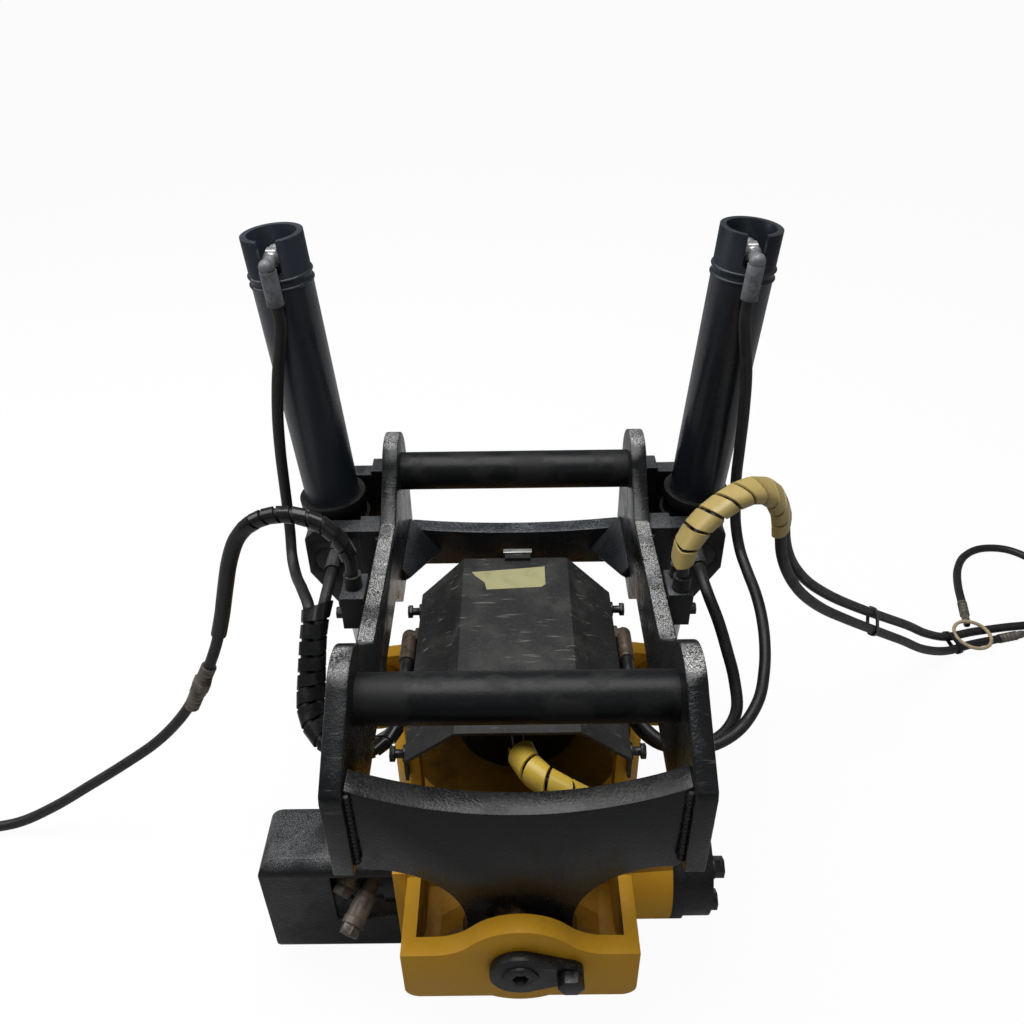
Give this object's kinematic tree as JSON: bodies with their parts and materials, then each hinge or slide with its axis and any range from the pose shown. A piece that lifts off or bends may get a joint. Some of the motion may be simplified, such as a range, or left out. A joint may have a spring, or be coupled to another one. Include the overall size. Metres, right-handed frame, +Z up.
{
  "type": "excavator tilt rotator",
  "caption": "Excavator tilt rotator: a hitch frame with two pin axles tilts by side cylinders on a worm-driven housing that turns endlessly on a bolted tool flange.",
  "frame": {"origin": "centre of the tool flange's underside, on the surface that the part stands on", "axes": "+Z up along the rotation axis, +Y to the rear along the tilt axis, +X to the right as seen from the front"},
  "size_m": [1.8479, 0.9396, 0.7623],
  "materials": {
    "black_paint": "worn semi-gloss black paint",
    "yellow_paint": "scuffed ochre yellow paint",
    "bare_steel": "machined steel",
    "bronze": "machined bronze",
    "hose_rubber": "smooth black rubber",
    "dull_plating": "dull, dusty plating",
    "rod_chrome": "polished"
  },
  "bodies": {
    "rotor": {"rotor_hub": "bare_steel", "worm_wheel": "bronze", "wheel_bolts": "bare_steel", "swivel_core": "bare_steel"},
    "housing": {"gear_housing": "yellow_paint", "bearing_carrier": "black_paint", "slew_bearings": "bare_steel", "swivel_block": "black_paint", "worm_bearings": "bare_steel", "worm_cap": "black_paint", "cap_bolts": "black_paint", "drive_motor": "black_paint", "motor_guard": "black_paint", "capped_couplings": "dull_plating", "tilt_pin_front": "bare_steel", "tilt_pin_rear": "bare_steel", "lock_plates": "black_paint", "lock_bolts": "black_paint", "lug_pins": "bare_steel", "top_cover": "black_paint", "cover_bolts": "black_paint", "port_elbows": "dull_plating", "swivel_hose": "hose_rubber"},
    "worm": {"worm_shaft": "bare_steel", "worm_thread": "bare_steel"},
    "upper_frame": {"side_plate_left": "black_paint", "side_plate_right": "black_paint", "front_axle": "black_paint", "rear_axle": "black_paint", "front_cross_plate": "black_paint", "rear_cross_plate": "black_paint", "corner_gussets": "black_paint", "trunnion_lugs_left": "black_paint", "trunnion_lugs_right": "black_paint", "tilt_bushes": "bronze", "port_blocks": "black_paint", "hose_loop_left": "hose_rubber", "hose_loop_right": "hose_rubber", "hose_rod_left": "hose_rubber", "hose_rod_right": "hose_rubber", "feed_hose_left": "hose_rubber", "feed_hose_right": "hose_rubber", "feed_hose_loop": "hose_rubber", "feed_couplings": "dull_plating"},
    "barrel_left": {"barrel_left": "black_paint", "barrel_cap_left": "black_paint", "barrel_trunnion_left": "black_paint", "barrel_gland_left": "bare_steel", "barrel_elbow_left": "dull_plating", "hose_top_left": "hose_rubber"},
    "barrel_right": {"barrel_right": "black_paint", "barrel_cap_right": "black_paint", "barrel_trunnion_right": "black_paint", "barrel_gland_right": "bare_steel", "barrel_elbow_right": "dull_plating", "hose_top_right": "hose_rubber"},
    "rod_left": {"rod_left": "rod_chrome", "piston_left": "bare_steel"},
    "rod_right": {"rod_right": "rod_chrome", "piston_right": "bare_steel"}
  },
  "joints": [
    {"name": "rotate", "type": "hinge", "parent": "rotor", "child": "housing", "pos_m": [0, 0, 0], "axis": [0, 0, 1], "continuous": true},
    {"name": "worm_turn", "type": "hinge", "parent": "housing", "child": "worm", "pos_m": [0, -0.165, 0.122], "axis": [1, 0, 0], "continuous": true},
    {"name": "tilt", "type": "hinge", "parent": "housing", "child": "upper_frame", "pos_m": [0, 0, 0.219], "axis": [0, 1, 0], "range_deg": [-35, 35], "deforming": ["hose_loop_left", "hose_loop_right", "hose_rod_left", "hose_rod_right", "feed_hose_left", "feed_hose_right", "feed_hose_loop"]},
    {"name": "barrel_left_swing", "type": "hinge", "parent": "upper_frame", "child": "barrel_left", "pos_m": [-0.23606, 0.189, 0.36084], "axis": [0, 1, 0], "range_deg": [-17.5, 17.5], "deforming": ["hose_top_left"]},
    {"name": "barrel_right_swing", "type": "hinge", "parent": "upper_frame", "child": "barrel_right", "pos_m": [0.23606, 0.189, 0.36084], "axis": [0, 1, 0], "range_deg": [-17.5, 17.5], "deforming": ["hose_top_right"]},
    {"name": "rod_left_swing", "type": "hinge", "parent": "housing", "child": "rod_left", "pos_m": [-0.21403, 0.189, 0.04569], "axis": [0, 1, 0], "range_deg": [-17.5, 17.5]},
    {"name": "rod_right_swing", "type": "hinge", "parent": "housing", "child": "rod_right", "pos_m": [0.21403, 0.189, 0.04569], "axis": [0, 1, 0], "range_deg": [-17.5, 17.5]}
  ],
  "couplings": [
    {"joint": "worm_turn", "follows": "rotate", "ratio": 36},
    {"joint": "barrel_left_swing", "follows": "tilt", "ratio": -0.5},
    {"joint": "barrel_right_swing", "follows": "tilt", "ratio": -0.5},
    {"joint": "rod_left_swing", "follows": "tilt", "ratio": 0.5},
    {"joint": "rod_right_swing", "follows": "tilt", "ratio": 0.5}
  ]
}
